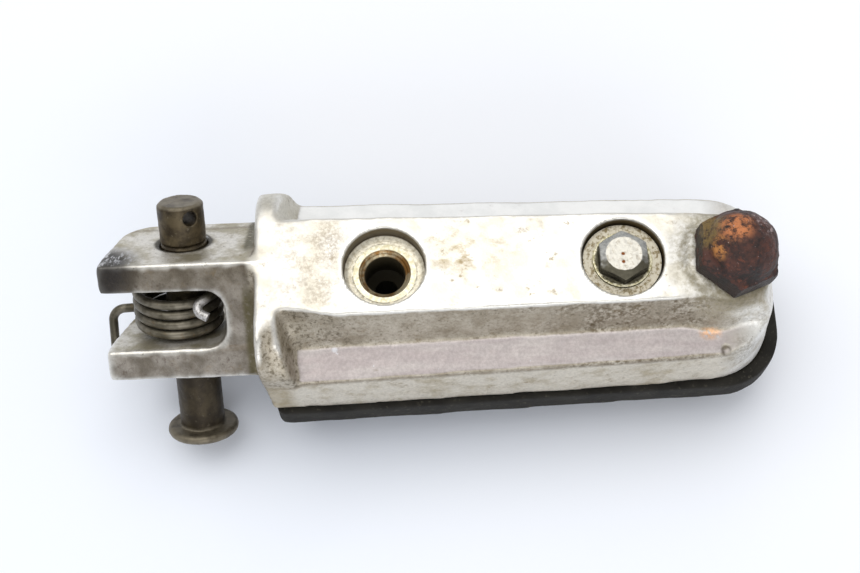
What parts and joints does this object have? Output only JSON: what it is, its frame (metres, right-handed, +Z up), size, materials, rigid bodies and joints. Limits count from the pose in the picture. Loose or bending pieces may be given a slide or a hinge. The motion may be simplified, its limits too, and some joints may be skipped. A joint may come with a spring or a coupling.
{
  "type": "folding foot peg",
  "caption": "Folding foot peg lying on its rubber tread: cast body with a slanted clevis, loose pivot pin, return spring, pad bolt and domed bank feeler.",
  "frame": {"origin": "on the tread plane that the peg lies on, midway between its two pad bolts", "axes": "+X towards the peg's tip and its bank feeler, +Y across the peg, +Z up, out of the pad bolts' holes"},
  "size_m": [0.1514, 0.0501, 0.0575],
  "materials": {
    "cast_aluminium": "worn, stained casting",
    "tread_rubber": "aged matte rubber",
    "plated_steel": "dull zinc plating",
    "bolt_steel": "pitted plating",
    "rusted_steel": "heavy pitted rust",
    "pin_steel": "brown oxide, greasy",
    "spring_steel": "dull spring wire"
  },
  "bodies": {
    "peg": {"peg_casting": "cast_aluminium", "tread_rubber": "tread_rubber", "pad_plate": "plated_steel", "inner_boss": "plated_steel", "outer_boss": "plated_steel", "pad_bolt": "bolt_steel", "bolt_washer": "bolt_steel", "bank_feeler": "rusted_steel"},
    "spring": {"return_spring": "spring_steel"},
    "pin": {"pivot_pin": "pin_steel"}
  },
  "joints": [
    {"name": "pivot_turn", "type": "hinge", "parent": "peg", "child": "spring", "pos_m": [-0.0685, 0.00145, 0.0287], "axis": [0, -0.6947, -0.7193], "range_deg": [-5, 35]},
    {"name": "pin_slide", "type": "slide", "parent": "spring", "child": "pin", "axis": [0, 0.6947, 0.7193], "range_m": [0, 0.0164]}
  ]
}
